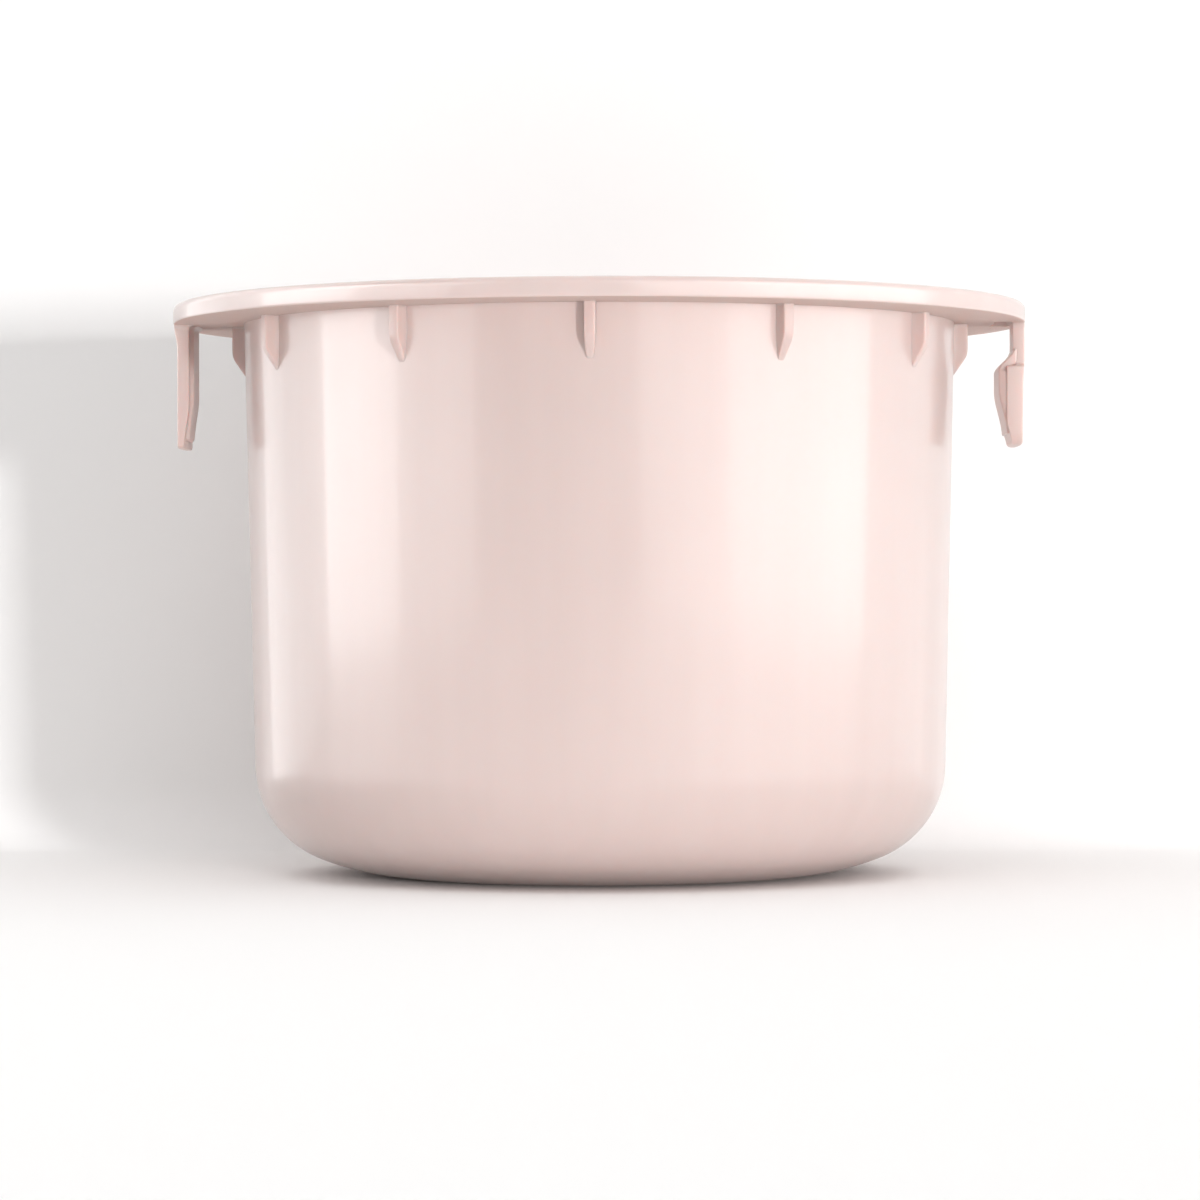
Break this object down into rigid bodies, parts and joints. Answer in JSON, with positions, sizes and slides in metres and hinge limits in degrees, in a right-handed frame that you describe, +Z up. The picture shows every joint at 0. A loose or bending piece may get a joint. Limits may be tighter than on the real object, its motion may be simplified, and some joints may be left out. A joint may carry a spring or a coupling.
{
  "type": "snap-in refill pot",
  "caption": "Round thin-walled plastic pot with a wide flange, locating ribs below it, and a plain leg and a hooked leg that clip it into a holder.",
  "frame": {"origin": "centre of the base, on the plane the pot stands on", "axes": "+Z up the pot's axis towards the mouth, +X towards the hooked leg, -X towards the plain leg"},
  "size_m": [0.058, 0.058, 0.0389],
  "materials": {
    "pink_plastic": "glossy, faintly pearly and slightly translucent, pale pink"
  },
  "bodies": {
    "pot": {"cup_wall": "pink_plastic", "cup_corner": "pink_plastic", "cup_floor": "pink_plastic", "gate_stub": "pink_plastic", "rim_flange": "pink_plastic", "seal_land": "pink_plastic", "rib_01": "pink_plastic", "rib_02": "pink_plastic", "rib_03": "pink_plastic", "rib_04": "pink_plastic", "rib_05": "pink_plastic", "rib_06": "pink_plastic", "rib_07": "pink_plastic", "rib_08": "pink_plastic", "rib_09": "pink_plastic", "rib_10": "pink_plastic", "rib_11": "pink_plastic", "rib_12": "pink_plastic"},
    "plain_leg": {"plain_blade": "pink_plastic", "plain_ridge": "pink_plastic"},
    "hook_leg": {"hook_neck": "pink_plastic", "hook_pad": "pink_plastic", "hook_barb": "pink_plastic"}
  },
  "joints": [
    {"name": "plain_leg_flex", "type": "hinge", "parent": "pot", "child": "plain_leg", "pos_m": [-0.0282, 0, 0.0374], "axis": [0, 1, 0], "range_deg": [-2, 6], "stiffness_Nm_per_rad": 0.2},
    {"name": "hook_leg_flex", "type": "hinge", "parent": "pot", "child": "hook_leg", "pos_m": [0.0285, 0, 0.0374], "axis": [0, -1, 0], "range_deg": [-2, 6], "stiffness_Nm_per_rad": 0.08}
  ]
}
